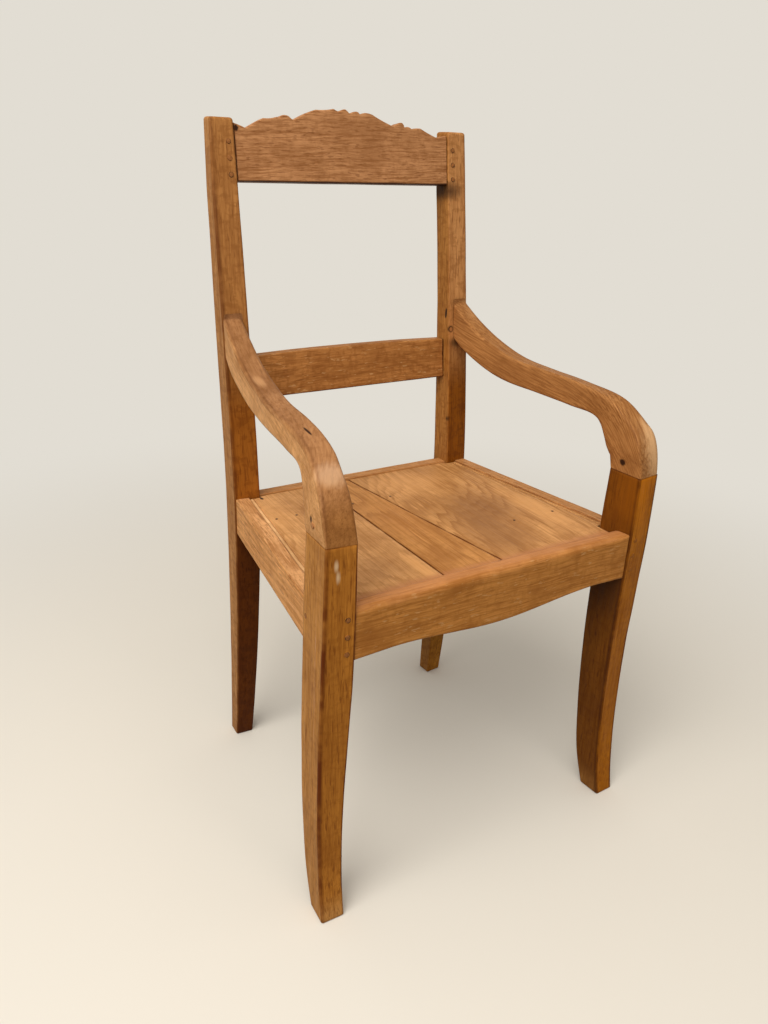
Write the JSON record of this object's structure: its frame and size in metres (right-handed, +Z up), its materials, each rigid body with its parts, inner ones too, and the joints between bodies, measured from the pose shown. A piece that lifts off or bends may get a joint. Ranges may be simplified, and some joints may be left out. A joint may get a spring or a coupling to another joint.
{
  "type": "captains chair",
  "caption": "Open wooden armchair: raked back posts with a scalloped crest rail, serpentine arms on sabre front legs, and a boarded trapezoid seat.",
  "frame": {"origin": "floor level under the centre of the chair's bounding box", "axes": "+Z up, the chair's front faces -Y, +X to the right seen from the front"},
  "size_m": [0.5236, 0.4658, 0.9754],
  "materials": {
    "arm_left_wood": "sanded and oiled hardwood, satin",
    "arm_right_wood": "sanded and oiled hardwood, satin",
    "back_post_left_wood": "sanded and oiled hardwood, satin",
    "back_post_right_wood": "sanded and oiled hardwood, satin",
    "crest_rail_wood": "sanded and oiled hardwood, satin",
    "front_leg_left_wood": "sanded and oiled hardwood, satin",
    "front_leg_right_wood": "sanded and oiled hardwood, satin",
    "front_seat_rail_wood": "sanded and oiled hardwood, satin",
    "mid_rail_wood": "sanded and oiled hardwood, satin",
    "rear_seat_rail_wood": "sanded and oiled hardwood, satin",
    "seat_batten_front_wood": "sanded and oiled hardwood, satin",
    "seat_batten_rear_wood": "sanded and oiled hardwood, satin",
    "seat_board_centre_wood": "sanded and oiled hardwood, satin",
    "seat_board_left_wood": "sanded and oiled hardwood, satin",
    "seat_board_right_wood": "sanded and oiled hardwood, satin",
    "side_seat_rail_left_wood": "sanded and oiled hardwood, satin",
    "side_seat_rail_right_wood": "sanded and oiled hardwood, satin",
    "nail_steel": "dull dark oxide",
    "peg_wood": "oiled, dark end grain"
  },
  "bodies": {
    "root": {"arm_front_peg_left": "peg_wood", "arm_front_peg_right": "peg_wood", "arm_left": "arm_left_wood", "arm_rear_peg_1_left": "peg_wood", "arm_rear_peg_1_right": "peg_wood", "arm_rear_peg_2_left": "peg_wood", "arm_rear_peg_2_right": "peg_wood", "arm_right": "arm_right_wood", "back_post_left": "back_post_left_wood", "back_post_right": "back_post_right_wood", "crest_peg_1_left": "peg_wood", "crest_peg_1_right": "peg_wood", "crest_peg_2_left": "peg_wood", "crest_peg_2_right": "peg_wood", "crest_peg_3_left": "peg_wood", "crest_peg_3_right": "peg_wood", "crest_rail": "crest_rail_wood", "front_leg_left": "front_leg_left_wood", "front_leg_right": "front_leg_right_wood", "front_rail_peg_1_left": "peg_wood", "front_rail_peg_1_right": "peg_wood", "front_rail_peg_2_left": "peg_wood", "front_rail_peg_2_right": "peg_wood", "front_rail_peg_3_left": "peg_wood", "front_rail_peg_3_right": "peg_wood", "front_seat_rail": "front_seat_rail_wood", "mid_rail": "mid_rail_wood", "nail_centre_1": "nail_steel", "nail_left_1": "nail_steel", "nail_left_2": "nail_steel", "nail_left_3": "nail_steel", "nail_left_4": "nail_steel", "nail_right_1": "nail_steel", "nail_right_2": "nail_steel", "nail_right_3": "nail_steel", "rear_seat_rail": "rear_seat_rail_wood", "seat_batten_front": "seat_batten_front_wood", "seat_batten_rear": "seat_batten_rear_wood", "seat_board_centre": "seat_board_centre_wood", "seat_board_left": "seat_board_left_wood", "seat_board_right": "seat_board_right_wood", "side_rail_front_peg_left": "peg_wood", "side_rail_front_peg_right": "peg_wood", "side_rail_rear_peg_left": "peg_wood", "side_rail_rear_peg_right": "peg_wood", "side_seat_rail_left": "side_seat_rail_left_wood", "side_seat_rail_right": "side_seat_rail_right_wood"}
  },
  "joints": []
}
